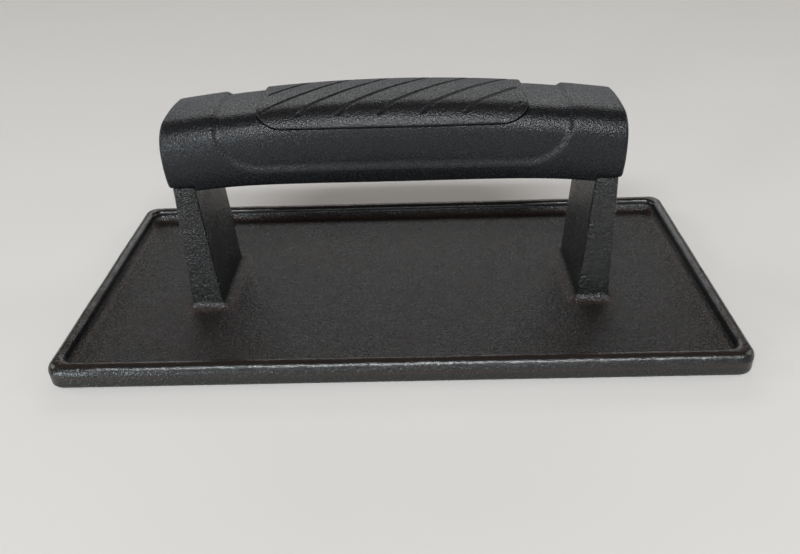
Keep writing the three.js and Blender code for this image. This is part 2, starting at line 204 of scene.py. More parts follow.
class StageSettings(bpy.types.PropertyGroup):
    """Camera, floor and lights."""

    camera_at: FloatVectorProperty(
        name="Camera place",
        description="Where the camera stands",
        default=(0.007917, -0.214343, 0.144372),
        size=3,
        subtype="TRANSLATION",
        unit="LENGTH",
        precision=6,
    )
    pitch: angle("Pitch", "How far the camera looks down", 32.99)
    yaw: angle("Yaw", "How far the camera turns to the left", 1.42)
    roll: angle("Roll", "How far the camera leans", -2.06)
    lens: FloatProperty(name="Lens", description="Focal length", default=32.4, unit="CAMERA")
    shift_x: FloatProperty(name="Shift X", description="Sideways shift", default=-0.00916)
    shift_y: FloatProperty(name="Shift Y", description="Upward shift", default=-0.00449)
    floor_size: length("Floor size", "Side of the floor", 3.0)


GROUPS = {
    "press_plate": PlateSizes,
    "press_handle": HandleSizes,
    "press_pad": PadSizes,
    "press_fixings": FixingSizes,
    "press_finishes": Finishes,
    "press_stage": StageSettings,
}


# ---------- shader nodes ----------


class Wire:
    """An output socket that can stand in a sum."""

    def __init__(self, shader, socket):
        self.shader = shader
        self.socket = socket

    def __add__(self, other):
        return self.shader.maths("ADD", self, other)

    def __radd__(self, other):
        return self.shader.maths("ADD", other, self)

    def __sub__(self, other):
        return self.shader.maths("SUBTRACT", self, other)

    def __rsub__(self, other):
        return self.shader.maths("SUBTRACT", other, self)

    def __mul__(self, other):
        return self.shader.maths("MULTIPLY", self, other)

    def __rmul__(self, other):
        return self.shader.maths("MULTIPLY", other, self)


class Shader:
    """A material, or the room's light, that is built node by node."""

    def __init__(self, owner, place="Object"):
        self.owner = owner
        self.owner.use_nodes = True
        self.tree = self.owner.node_tree
        self.tree.nodes.clear()
        self.place = self.node("ShaderNodeTexCoord", {}, {}, place)

    def node(self, kind, settings, inputs, output=0):
        """Adds a node, sets it up, then gives its sockets their values or links."""
        made = self.tree.nodes.new(kind)
        for name, value in settings.items():
            if name == "stops":
                while len(made.color_ramp.elements) < len(value):
                    made.color_ramp.elements.new(1)
                for element, (position, shade) in zip(made.color_ramp.elements, value):
                    element.position = position
                    element.color = (*shade, 1)
            else:
                setattr(made, name, value)
        for key, value in inputs.items():
            if isinstance(value, Wire):
                self.tree.links.new(value.socket, made.inputs[key])
            else:
                made.inputs[key].default_value = value
        return Wire(self, made.outputs[output]) if made.outputs else None

    def maths(self, operation, *values):
        return self.node("ShaderNodeMath", {"operation": operation}, dict(enumerate(values)))

    def noise(self, cell, detail=2.0, roughness=0.5, distortion=0.0):
        """Noise whose features are about one cell wide, from 0 to 1."""
        inputs = {
            "Vector": self.place,
            "Scale": 1 / cell,
            "Detail": detail,
            "Roughness": roughness,
            "Distortion": distortion,
        }
        return self.node("ShaderNodeTexNoise", {}, inputs)

    def pits(self, cell):
        """Distance to the middle of cells about one cell wide."""
        inputs = {"Vector": self.place, "Scale": 1 / cell, "Smoothness": 0.4}
        return self.node("ShaderNodeTexVoronoi", {"feature": "SMOOTH_F1"}, inputs)

    def ramp(self, value, low, high):
        """Runs smoothly from 0 at low to 1 at high."""
        inputs = {"Value": value, "From Min": low, "From Max": high}
        return self.node("ShaderNodeMapRange", {"interpolation_type": "SMOOTHSTEP"}, inputs)

    def mix(self, share, first, second):
        """Mixes two colours."""
        shades = [c if isinstance(c, Wire) else (*c, 1) for c in (first, second)]
        inputs = {0: share, 6: shades[0], 7: shades[1]}
        return self.node("ShaderNodeMix", {"data_type": "RGBA"}, inputs, 2)

    def part(self, axis):
        """The X, Y or Z part of the place, in metres."""
        return self.node("ShaderNodeSeparateXYZ", {}, {0: self.place}, "XYZ".index(axis))

    def bump(self, relief):
        """Normal of a relief whose height is in millimetres."""
        inputs = {"Height": relief, "Distance": MM, "Strength": 1}
        return self.node("ShaderNodeBump", {}, inputs)

    def finish(self, **sockets):
        """Closes the material with one principled surface."""
        inputs = {name.replace("_", " "): value for name, value in sockets.items()}
        surface = self.node("ShaderNodeBsdfPrincipled", {}, inputs)
        self.node("ShaderNodeOutputMaterial", {}, {"Surface": surface})
        return self.owner


# ---------- finishes ----------


def on_rim(shader, width):
    """1 within a width of the plate's outline and 0 over the pan and the posts."""
    from_end = shader.maths("ABSOLUTE", shader.part("X")) - (PLATE_HIGH.x - width)
    from_side = shader.maths("ABSOLUTE", shader.part("Y")) - (PLATE_HIGH.y - width)
    return shader.ramp(shader.maths("MAXIMUM", from_end, from_side), 0, MM)


def cast_iron(finishes, plate):
    """Seasoned cast iron: a sandy skin under a thin glossy film, browner where it lies thick, with
    painted sparkle: lighter flecks in its colour stand in for glints off the grain.
    """
    shader = Shader(bpy.data.materials.new("cast_iron"))
    floor, top = plate.pan_floor, plate.rim_height
    height = shader.part("Z")
    peel = shader.noise(1.1 * MM, 3, 0.55)
    sand = shader.noise(0.6 * MM, 2, 0.6)
    swell = shader.noise(9 * MM, 2, 0.5)
    sandy = shader.ramp(height, floor + 1.6 * MM, 12 * MM)
    rim = on_rim(shader, 7 * MM)
    rubbed = rim * shader.ramp(height, top - 3.2 * MM, top - 1.6 * MM)
    rim_top = rim * shader.ramp(height, top - 0.5 * MM, top - 0.1 * MM)
    relief = (0.5 - 0.1 * sandy) * peel + (0.3 + 0.38 * sandy) * sand
    relief = relief * (1 - 0.75 * rubbed) + 0.5 * swell
    patches = shader.ramp(shader.noise(17 * MM, 5, 0.65, 0.5), 0.42, 0.75)
    above_floor = shader.ramp(height, floor - 0.02 * MM, floor + 0.04 * MM)
    corner = shader.ramp(height, floor + 1.9 * MM, floor + 0.05 * MM) * above_floor
    brown = 0.1 * patches + 0.4 * corner + 0.3 * rim_top
    shade = shader.mix(brown, tuple(finishes.iron), tuple(finishes.iron_brown))
    # Painted sparkle: these flecks lighten the base colour to stand in for glints off the grain,
    # fewest on the rim's top; the same spots are also a little glossier.
    sparkle_flecks = shader.ramp(shader.noise(0.62 * MM, 1), 0.5, 0.66)
    painted_glints = sparkle_flecks * (0.5 + 0.4 * sandy - 0.3 * rim_top)
    shade = shader.mix(painted_glints, shade, (0.02, 0.019, 0.018))
    rough = finishes.iron_rough + 0.08 * patches - 0.12 * sparkle_flecks - 0.05 * sandy - 0.06 * rubbed
    return shader.finish(
        Base_Color=shade,
        Roughness=rough,
        Normal=shader.bump(relief),
        Specular_IOR_Level=0.55,
    )


def moulded_plastic(name, shade, rough):
    """Black plastic with the fine grain of a spark-eroded mould, and painted sparkle: lighter
    flecks in its colour stand in for glints off the grain.
    """
    shader = Shader(bpy.data.materials.new(name))
    grain = shader.pits(0.5 * MM)
    fine = shader.noise(0.36 * MM, 2, 0.6)
    flow = shader.noise(14 * MM, 3, 0.5, 0.4)
    relief = 0.09 * grain + 0.09 * fine
    worn = shader.ramp(flow, 0.5, 0.75)
    # Painted sparkle: these flecks lighten the base colour to stand in for glints off the grain;
    # the same spots are also a little glossier.
    sparkle_flecks = shader.ramp(shader.noise(0.5 * MM, 1), 0.5, 0.64)
    tint = shader.mix(0.75 * sparkle_flecks + 0.1 * worn, tuple(shade), (0.015, 0.016, 0.018))
    return shader.finish(
        Base_Color=tint,
        Roughness=rough + 0.06 * worn - 0.14 * sparkle_flecks,
        Normal=shader.bump(relief),
        Specular_IOR_Level=0.34,
    )


def black_steel(finishes):
    """Oxidised steel with fine turning marks and bright rubbed spots."""
    shader = Shader(bpy.data.materials.new("black_steel"))
    grain = shader.noise(0.15 * MM, 2, 0.6)
    rubbed = shader.ramp(shader.noise(1.6 * MM, 3), 0.55, 0.75)
    shade = shader.mix(0.6 * rubbed, tuple(finishes.steel), (0.2, 0.2, 0.2))
    return shader.finish(
        Base_Color=shade,
        Metallic=0.9,
        Roughness=0.42 - 0.12 * rubbed,
        Normal=shader.bump(0.01 * grain),
    )


def pale_floor(finishes):
    """A plain pale surface with a faint unevenness."""
    shader = Shader(bpy.data.materials.new("pale_floor"))
    shade = shader.mix(
        shader.noise(60 * MM, 3, 0.5),
        tuple(0.97 * c for c in finishes.floor),
        tuple(finishes.floor),
    )
    return shader.finish(Base_Color=shade, Roughness=0.9)


# ---------- making meshes ----------


def shown(mesh, name):
    """Puts a mesh in the scene."""
    piece = bpy.data.objects.new(name, mesh)
    bpy.context.scene.collection.objects.link(piece)
    return piece


def mesh_of(bm, name):
    """Closes a bmesh into a smooth mesh with its faces pointing out."""
    bmesh.ops.recalc_face_normals(bm, faces=bm.faces)
    mesh = bpy.data.meshes.new(name)
    bm.to_mesh(mesh)
    bm.free()
    mesh.shade_smooth()
    return mesh


def deliver(piece, material, slot, *nodes):
    """Finishes a piece: its material, its sharp edges, its body and the nodes it stands for."""
    piece.data.materials.clear()
    piece.data.materials.append(material)
    piece.data.set_sharp_from_angle(angle=math.radians(38))
    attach(piece, "root")
    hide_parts(*nodes)


def clean(mesh):
    """Takes out the faces without area and the idle points that a cut leaves behind."""
    bm = bmesh.new()
    bm.from_mesh(mesh)
    bmesh.ops.dissolve_degenerate(bm, dist=0.001 * MM, edges=bm.edges)
    idle = [vert for vert in bm.verts if len(vert.link_edges) == 2]
    bmesh.ops.dissolve_verts(bm, verts=idle)
    bm.to_mesh(mesh)
    bm.free()


def combine(piece, tool, operation):
    """Joins or cuts a piece with a tool, which is used up."""
    modifier = piece.modifiers.new(operation, "BOOLEAN")
    modifier.operation = operation
    modifier.object = tool
    modifier.solver = "EXACT"
    graph = bpy.context.evaluated_depsgraph_get()
    mesh = bpy.data.meshes.new_from_object(piece.evaluated_get(graph))
    if not mesh.polygons:
        raise RuntimeError(f"{operation} left nothing of {piece.name}")
    clean(mesh)
    piece.modifiers.clear()
    spent = piece.data
    piece.data = mesh
    bpy.data.meshes.remove(spent)
    bpy.data.meshes.remove(tool.data)


def quarter(steps):
    """Angles of a quarter turn."""
    return [step / steps * math.pi / 2 for step in range(steps + 1)]


def loft(bm, rings):
    """Skins closed rings of points that have the same count, and returns their vertices."""
    made = [[bm.verts.new(point) for point in ring] for ring in rings]
    for lower, upper in zip(made, made[1:]):
        for i in range(len(lower)):
            j = (i + 1) % len(lower)
            bm.faces.new((lower[i], lower[j], upper[j], upper[i]))
    return made


def cap(bm, ring, border):
    """Closes a flat ring, with a thin border that keeps the shading around it true."""
    face = bm.faces.new(ring)
    face.normal_update()
    bmesh.ops.inset_individual(bm, faces=[face], thickness=border, use_even_offset=True)


def circle(radius, z, centre=0.0, count=64):
    """A level circle's points, about an upright axis at centre along X."""
    turns = [i / count * 2 * math.pi for i in range(count)]
    return [Vector((centre + radius * math.cos(t), radius * math.sin(t), z)) for t in turns]


def hexagon(across, z, centre, count=48):
    """A hexagon's outline with as many points as a circle."""
    points = []
    for i in range(count):
        turn = i / count * 2 * math.pi
        off_flat = (turn + math.pi / 6) % (math.pi / 3) - math.pi / 6
        radius = across / 2 / math.cos(off_flat)
        points.append(Vector((centre + radius * math.cos(turn), radius * math.sin(turn), z)))
    return points


def rounded_rectangle(half_x, half_y, radius, z, centre=0.0, arc=8, along_x=1, along_y=1):
    """A rounded rectangle in plan, with its straight sides divided evenly."""
    corners = []
    for number, (sx, sy) in enumerate(((1, 1), (-1, 1), (-1, -1), (1, -1))):
        middle = Vector((centre + sx * (half_x - radius), sy * (half_y - radius), z))
        turns = [(number + step / arc) * math.pi / 2 for step in range(arc + 1)]
        corners.append([middle + radius * Vector((math.cos(t), math.sin(t), 0)) for t in turns])
    points = []
    for number, corner in enumerate(corners):
        start, end = corner[-1], corners[(number + 1) % 4][0]
        parts = along_x if number % 2 == 0 else along_y
        points += corner
        points += [start.lerp(end, part / parts) for part in range(1, parts)]
    return points


def turned(profile, centre, name):
    """A solid turned about an upright axis from (radius, height) pairs that start and end on it."""
    bm = bmesh.new()
    rings = loft(bm, [circle(radius, z, centre) for radius, z in profile[1:-1]])
    for ring, (_, z) in ((rings[0], profile[0]), (rings[-1], profile[-1])):
        tip = bm.verts.new((centre, 0, z))
        for i in range(len(ring)):
            bm.faces.new((ring[i], ring[(i + 1) % len(ring)], tip))
    return mesh_of(bm, name)


# ---------- plate casting ----------


def plate_profile(s):
    """The plate's section as (inset, height, corner radius), from the underside to the floor."""
    edge, inner, wall, fillet = s.rim_edge, s.inner_edge, s.rim_width, s.pan_fillet
    profile = []
    for t in quarter(6):
        inset = s.base_edge * (1 - math.sin(t))
        profile.append((inset, s.base_edge * (1 - math.cos(t)), s.corner - inset))
    for t in quarter(10):
        inset = edge * (1 - math.cos(t))
        profile.append((inset, s.rim_height - edge * (1 - math.sin(t)), s.corner - inset))
    for t in quarter(8):
        inset = wall - inner * (1 - math.sin(t))
        height = s.rim_height - inner * (1 - math.cos(t))
        profile.append((inset, height, s.pan_corner + wall - inset))
    for t in quarter(12):
        inset = wall + fillet * (1 - math.cos(t))
        height = s.pan_floor + fillet * (1 - math.sin(t))
        profile.append((inset, height, s.pan_corner + wall - inset))
    return profile


def post_profile(s):
    """A post's outline, foot to top, as (growth in, out and along, corner radius, height)."""
    foot = s.pan_floor + s.post_fillet
    edge = 0.5 * MM
    profile = []
    for t in quarter(12):
        share = 1 - math.sin(t)
        profile.append(
            (
                s.draft_across + s.fillet_inner * share,
                s.draft_across + s.fillet_outer * share,
                s.draft_along + s.fillet_along * share,
                s.post_edge + s.fillet_outer * share,
                s.pan_floor + s.post_fillet * (1 - math.cos(t)),
            )
        )
    levels = 18
    for level in range(1, levels):
        share = 1 - level / levels
        across = s.draft_across * share
        height = s.post_top - edge - (s.post_top - edge - foot) * share
        profile.append((across, across, s.draft_along * share, s.post_edge, height))
    for t in quarter(4):
        inset = edge * (1 - math.cos(t))
        height = s.post_top - edge * (1 - math.sin(t))
        profile.append((-inset, -inset, -inset, s.post_edge - inset, height))
    return profile


def add_post(bm, s, side):
    """Adds one post and its tongue, and returns the ring where it meets the floor."""
    half = s.post_thickness / 2
    centre = side * (SHELL_HIGH.x - s.end_inset - half)
    arc, along_x, along_y = 6, 8, 16
    divided = {"arc": arc, "along_x": along_x, "along_y": along_y}
    corner_starts = (0, arc + along_x, 2 * arc + along_x + along_y, 3 * arc + 2 * along_x + along_y)
    mid_corners = [start + arc // 2 for start in corner_starts]
    border, line_step = 0.4 * MM, 0.7 * s.parting
    line_from = s.pan_floor + 0.7 * s.post_fillet
    profile = post_profile(s)
    inward, outward, along, radius, z = profile[0]
    hem = (inward + border, outward + border, along + border, radius + border, z)
    rings = []
    for inward, outward, along, radius, z in (hem, *profile):
        wide = half + (inward + outward) / 2
        middle = centre + side * (outward - inward) / 2
        deep = s.post_depth / 2 + along
        ring = rounded_rectangle(wide, deep, radius, z, middle, **divided)
        for point in (ring[i] for i in mid_corners):
            if z > line_from and side * (point.x - middle) < 0:
                point.x += side * line_step
                point.y -= math.copysign(line_step, point.y)
        rings.append(ring)
    tongue_half, tongue_deep, from_end = 1.9 * MM, 8.5 * MM, 3.7 * MM
    tongue = side * (SHELL_HIGH.x - from_end - tongue_half)
    for z in (s.post_top, PLATE_HIGH.z):
        rings.append(rounded_rectangle(tongue_half, tongue_deep, 0.3 * MM, z, tongue, **divided))
    made = loft(bm, rings)
    cap(bm, made[-1], 0.2 * MM)
    return made[0]


def ring_edges(ring):
    """The edges that join a ring's vertices."""
    found = []
    for i, vert in enumerate(ring):
        following = ring[(i + 1) % len(ring)]
        found += [edge for edge in vert.link_edges if edge.other_vert(vert) is following]
    return found


def waver(bm, s):
    """Lets the cast surface wander inwards a little, as sand moulds leave it."""
    bm.normal_update()
    long_wave, short_wave, still = 11 * MM, 4 * MM, 0.3 * MM
    moves = []
    for vert in bm.verts:
        weight = min(1, max(0, (vert.co.z - s.pan_floor - still) / MM))
        wander = noise.noise(vert.co / long_wave) + 0.5 * noise.noise(vert.co / short_wave)
        moves.append(vert.normal * (-s.waver * weight * min(1, max(0, 0.5 + 0.5 * wander))))
    for vert, move in zip(bm.verts, moves):
        vert.co += move


class PRESS_OT_plate(bpy.types.Operator):
    """Builds the rimmed plate with its two posts"""

    bl_idname = "press.plate"
    bl_label = "Plate and Posts"

    def execute(self, context):
        s = context.scene.press_plate
        bm = bmesh.new()
        divided = {"arc": 10, "along_x": 70, "along_y": 34}
        border, profile = 0.5 * MM, plate_profile(s)
        inset, z, radius = profile[-1]
        profile.append((inset + border, z, radius - border))
        half_x, half_y = PLATE_HIGH.x, PLATE_HIGH.y
        made = loft(
            bm,
            [
                rounded_rectangle(half_x - inset, half_y - inset, radius, z, **divided)
                for inset, z, radius in profile
            ],
        )
        cap(bm, made[0], border)
        hems = [made[-1], add_post(bm, s, -1), add_post(bm, s, 1)]
        edges = [edge for hem in hems for edge in ring_edges(hem)]
        bmesh.ops.triangle_fill(bm, edges=edges, use_beauty=True, normal=(0, 0, 1))
        waver(bm, s)
        piece = shown(mesh_of(bm, "plate_casting"), "plate_casting")
        iron = cast_iron(context.scene.press_finishes, s)
        deliver(piece, iron, "cast_iron", "press_plate")
        return {"FINISHED"}


# ---------- handle ----------


class HandleForm:
    """The handle's surface: a section of arcs, turned about an axis far below the crown."""

    def __init__(self, s):
        self.s = s
        self.axis = PAD_HIGH.z - s.arch
        self.side_centre = Vector((SHELL_HIGH.y - s.side, s.bulge_drop))
        self.shoulder_centre = self.find_shoulder()
        x, y = self.shoulder_centre
        self.crown_edge = math.atan2(s.crown - y, x)
        self.side_edge = math.atan2(self.side_centre.y - y, x - self.side_centre.x)

    def find_shoulder(self):
        """Centre of the shoulder arc, which touches the crown arc and the side arc."""
        s = self.s
        from_crown, from_side = s.crown - s.shoulder, s.side - s.shoulder
        apart = self.side_centre - Vector((0, s.crown))
        along = (from_crown**2 - from_side**2 + apart.length_squared) / (2 * apart.length)
        off = math.sqrt(from_crown**2 - along**2)
        unit = apart.normalized()
        return Vector((0, s.crown)) + unit * along + Vector((-unit.y, unit.x)) * off

    def section(self, elevation, inset):
        """Half width and depth below the crown, where the surface faces that elevation."""
        if elevation >= self.crown_edge:
            centre, radius = Vector((0, self.s.crown)), self.s.crown
        elif elevation >= self.side_edge:
            centre, radius = self.shoulder_centre, self.s.shoulder
        else:
            centre, radius = self.side_centre, self.s.side
        facing = Vector((math.cos(elevation), -math.sin(elevation)))
        return centre + (radius - inset) * facing

    def height(self, x, depth):
        """Height of what lies that deep below the crown at station x."""
        return self.axis + math.sqrt((self.s.arch - depth) ** 2 - x**2)

    def point(self, x, elevation, inset, side):
        width, depth = self.section(elevation, inset)
        return Vector((x, side * width, self.height(x, depth)))

    def elevation_at(self, arc):
        """Which way the surface faces, an arc length away from the crown line."""
        level = self.s.crown * (math.pi / 2 - self.crown_edge)
        if arc < level:
            return math.pi / 2 - arc / self.s.crown
        return self.crown_edge - (arc - level) / self.s.shoulder

    def arc_to(self, elevation):
        """Arc length from the crown line to a place on the shoulder."""
        level = self.s.crown * (math.pi / 2 - self.crown_edge)
        return level + self.s.shoulder * (self.crown_edge - elevation)

    def arc_down_to(self, x, z):
        """Arc length at station x from the crown line down to a height on the shoulder."""
        depth = self.s.arch - math.hypot(z - self.axis, x)
        return self.arc_to(math.asin((self.shoulder_centre.y - depth) / self.s.shoulder))

    def side_elevation(self, x, z, inset):
        """Which way the bulging side faces at a height."""
        depth = self.s.arch - math.hypot(z - self.axis, x)
        return -math.asin((depth - self.s.bulge_drop) / (self.s.side - inset))

    def underside(self, x):
        """Height of the handle's lower edge at station x."""
        s = self.s
        if abs(x) > s.lip:
            return s.seat
        a, b = s.quarter_place**2, s.lip**2
        rise, fall = s.quarter - s.middle, SHELL_LOW.z - s.middle
        fourth = (fall / b - rise / a) / (b - a)
        return s.middle + (rise / a - fourth * a) * x**2 + fourth * x**4

    def recess(self, x, z):
        """Depth of the hand recess at a place seen from the front."""
        s = self.s
        across = abs(x) - (s.recess_half - s.recess_corner)
        down = s.recess_floor + s.recess_corner - z
        outside = math.hypot(max(across, 0), max(down, 0)) + min(max(across, down), 0)
        share = min(1, max(0, (s.recess_corner - outside) / s.recess_slope))
        return s.recess_depth * share * share * (3 - 2 * share)

    def half_outline(self, x, inset, side):
        """One side's outline at station x, from the crown to the mouth."""
        s = self.s
        low = self.underside(x) + inset
        fold = self.side_elevation(x, low + s.foot_round, inset)
        stretches = ((math.pi / 2, self.crown_edge, 16), (self.crown_edge, self.side_edge, 26))
        elevations = [math.pi / 2]
        for start, end, count in (*stretches, (self.side_edge, fold, 34)):
            elevations += [start + (end - start) * (i + 1) / count for i in range(count)]
        points = []
        for elevation in elevations:
            plain = self.point(x, elevation, inset, side)
            points.append(self.point(x, elevation, inset + self.recess(x, plain.z), side))
        start = points[-1]
        width, _ = self.section(self.side_elevation(x, low, inset), inset)
        corner = Vector((x, side * width, low))
        end = Vector((x, side * (width - s.foot_round), low))
        for i in range(1, 7):
            points.append(start.lerp(corner, i / 6).lerp(corner.lerp(end, i / 6), i / 6))
        mouth = SHELL_HIGH.y - s.side_wall
        points += [Vector((x, side * (mouth + 0.3 * MM), low)), Vector((x, side * mouth, low))]
        return points

    def outline(self, x, inset):
        """The whole outline at station x, from the right mouth over the crown to the left one."""
        right = self.half_outline(x, inset, 1)
        return right[::-1] + self.half_outline(x, inset, -1)[1:]

    def cavity(self, x):
        """The roof of the cavity at station x, from right to left."""
        s = self.s
        half = SHELL_HIGH.y - s.side_wall
        points = []
        for share in (1, 0.5, 0, -0.5, -1):
            y = share * half
            depth = s.crown - math.sqrt((s.crown - s.roof) ** 2 - y**2)
            points.append(Vector((x, y, self.height(x, depth))))
        return points


def stations(s):
    """Places along the handle as (x, inset), closer together where the shape turns."""
    half, cavity, round_off = SHELL_HIGH.x, SHELL_HIGH.x - s.end_wall, s.end_round
    lip_step, step_reach, too_close = 0.15 * MM, 1.6 * MM, 0.2 * MM
    marks = {0.0, s.lip, s.lip + lip_step, cavity}
    x = 0.0
    while x < half - round_off:
        near_step = abs(x - s.recess_half + s.recess_slope / 2) < step_reach
        if min(abs(x - mark) for mark in marks) >= too_close:
            marks = marks | {x}
        x += s.station / 3 if near_step else s.station
    right = [(x, 0.0) for x in sorted(marks)]
    for t in quarter(7):
        right.append((half - round_off * (1 - math.sin(t)), round_off * (1 - math.cos(t))))
    return [(-x, inset) for x, inset in right[:0:-1]] + right


def shell_mesh(form):
    """The handle's skin, its end walls and its cavity."""
    s = form.s
    bm = bmesh.new()
    half, rounding = SHELL_HIGH.x - s.end_wall, 1e-7
    places = stations(s)
    rings = [[bm.verts.new(p) for p in form.outline(x, inset)] for x, inset in places]
    roofs = [
        [bm.verts.new(p) for p in form.cavity(x)] if abs(x) <= half + rounding else None
        for x, _ in places
    ]
    for i in range(len(places) - 1):
        here, there = rings[i], rings[i + 1]
        for k in range(len(here) - 1):
            bm.faces.new((here[k], here[k + 1], there[k + 1], there[k]))
        if roofs[i] is None or roofs[i + 1] is None:
            bm.faces.new((here[-1], here[0], there[0], there[-1]))
            continue
        near = [here[0], *roofs[i], here[-1]]
        far = [there[0], *roofs[i + 1], there[-1]]
        for k in range(len(near) - 1):
            bm.faces.new((near[k], far[k], far[k + 1], near[k + 1]))
    for i, roof in enumerate(roofs):
        if roof and (roofs[i - 1] is None or roofs[i + 1] is None):
            bm.faces.new([rings[i][0], *roof, rings[i][-1]])
    for ring in (rings[0], rings[-1]):
        cap(bm, ring, 0.25 * MM)
    return mesh_of(bm, "handle_body")


class PRESS_OT_handle(bpy.types.Operator):
    """Builds the arched handle with its hand recess and the pad's pocket"""

    bl_idname = "press.handle"
    bl_label = "Handle"

    def execute(self, context):
        form = HandleForm(context.scene.press_handle)
        pad = context.scene.press_pad
        piece = shown(shell_mesh(form), "handle_body")
        depth = pad.thickness + pad.gap
        pocket = pad_mesh(form, pad, pad.gap, -1.5 * MM, depth, 0.9 * MM, 1, False)
        combine(piece, shown(pocket, "pocket"), "DIFFERENCE")
        finishes = context.scene.press_finishes
        plastic = moulded_plastic("handle_plastic", finishes.plastic, finishes.plastic_rough)
        deliver(piece, plastic, "handle_plastic", "handle_shell")
        return {"FINISHED"}


# ---------- grip pad ----------


def graded(half, spacing):
    """Places from -half to half, closer together at the ends."""
    fine = [0, 0.06 * MM, 0.16 * MM, 0.3 * MM, 0.48 * MM]
    inner = half - 0.75 * MM
    count = max(2, round(2 * inner / spacing))
    middle = [-inner + 2 * inner * i / count for i in range(count + 1)]
    return [f - half for f in fine] + middle + [half - f for f in reversed(fine)]


def inside(across, along, radius):
    """How far a place lies inside a rounded corner, from its distances to both sides."""
    if across > radius or along > radius:
        return min(across, along)
    return radius - math.hypot(radius - across, radius - along)


def groove_depth(s, x, y, from_end, from_side):
    """Depth of the grooves at a place in plan, given its distances to the pad's outline."""
    corner, run_out = 4 * MM, 1.2 * MM
    ends = inside(from_end - s.end_margin, from_side - s.side_margin, corner) / run_out
    slope = math.sin(s.groove_angle)
    slant = x * slope - y * math.cos(s.groove_angle)
    last = s.groove_count / 2
    number = round((slant / slope - s.groove_shift) / s.groove_pitch - 0.5)
    number = min(last - 1, max(-last, number))
    middle = (s.groove_shift + (number + 0.5) * s.groove_pitch) * slope
    off = min(1, abs(slant - middle) / (s.groove_width / 2))
    return s.groove_depth * min(1, max(0, ends)) * (1 - off * off) ** 2


def pad_mesh(form, s, grow, top, bottom, spacing, every, grooved):
    """The pad's solid: a patch of the handle's surface, rounded at its corners and upper edge."""
    half_x, arc = PAD_HIGH.x + grow, form.arc_down_to(0, s.edge_height) + grow
    corner = s.corner + grow

    def drop(distance):
        short = max(0, s.edge_round - distance)
        return s.edge_round - math.sqrt(s.edge_round**2 - short**2)

    rows, columns = graded(arc, spacing), graded(half_x, spacing)
    bm = bmesh.new()
    above, below = [], []
    for row in rows:
        side = 1 if row > 0 else -1
        past = max(0, abs(row) - (arc - corner))
        reach = half_x - corner + math.sqrt(max(0, corner**2 - past**2))
        upper, lower = [], []
        for column in columns:
            x = column / half_x * reach
            length_here = form.arc_down_to(x, s.edge_height) + grow
            along = abs(row) / arc * length_here
            elevation = form.elevation_at(along)
            inset = top
            if grooved:
                y = side * form.section(elevation, 0).x
                inset += max(drop(reach - abs(x)), drop(length_here - along))
                inset += groove_depth(s, x, y, half_x - abs(x), length_here - along)
            upper.append(bm.verts.new(form.point(x, elevation, inset, side)))
            lower.append((x, elevation, bottom, side))
        above.append(upper)
        below.append(lower)

    def picked(count):
        return sorted({*range(0, count, every), count - 1})

    row_picks, column_picks = picked(len(rows)), picked(len(columns))
    for j in row_picks:
        for i in column_picks:
            below[j][i] = bm.verts.new(form.point(*below[j][i]))
    for j in range(len(rows) - 1):
        for i in range(len(columns) - 1):
            quad = (above[j][i], above[j][i + 1], above[j + 1][i + 1], above[j + 1][i])
            bm.faces.new(quad)
    for j, k in zip(row_picks, row_picks[1:]):
        for i, m in zip(column_picks, column_picks[1:]):
            bm.faces.new((below[j][i], below[k][i], below[k][m], below[j][m]))
        for i in (0, -1):
            wall = [above[n][i] for n in range(j, k + 1)]
            bm.faces.new([*wall, below[k][i], below[j][i]])
    for i, m in zip(column_picks, column_picks[1:]):
        for j in (0, -1):
            wall = [above[j][n] for n in range(i, m + 1)]
            bm.faces.new([*wall, below[j][m], below[j][i]])
    return mesh_of(bm, "grip")


class PRESS_OT_pad(bpy.types.Operator):
    """Builds the grooved grip pad"""

    bl_idname = "press.pad"
    bl_label = "Grip Pad"

    def execute(self, context):
        form = HandleForm(context.scene.press_handle)
        s = context.scene.press_pad
        piece = shown(pad_mesh(form, s, 0, 0, s.thickness, s.grain, 6, True), "grip")
        finishes = context.scene.press_finishes
        plastic = moulded_plastic("grip_plastic", finishes.pad, finishes.pad_rough)
        deliver(piece, plastic, "grip_plastic", "grip_pad")
        return {"FINISHED"}


# ---------- underside cover, screws and nuts ----------


def cover_mesh(form, s):
    """The strip that follows the handle's underside."""
    bm = bmesh.new()
    set_back = COVER_LOW.z - SHELL_LOW.z
    thickness = 2.4 * MM
    count = 80
    rings = []
    for i in range(count + 1):
        x = COVER_HIGH.x * (2 * i / count - 1)
        low = form.underside(x) + set_back
        flat = rounded_rectangle(COVER_HIGH.y, thickness / 2, s.cover_round, 0, arc=4, along_x=8)
        rings.append([Vector((x, p.x, low + thickness / 2 + p.y)) for p in flat])
    made = loft(bm, rings)
    cap(bm, made[0], 0.2 * MM)
    cap(bm, made[-1], 0.2 * MM)
    return mesh_of(bm, "underside_cover")


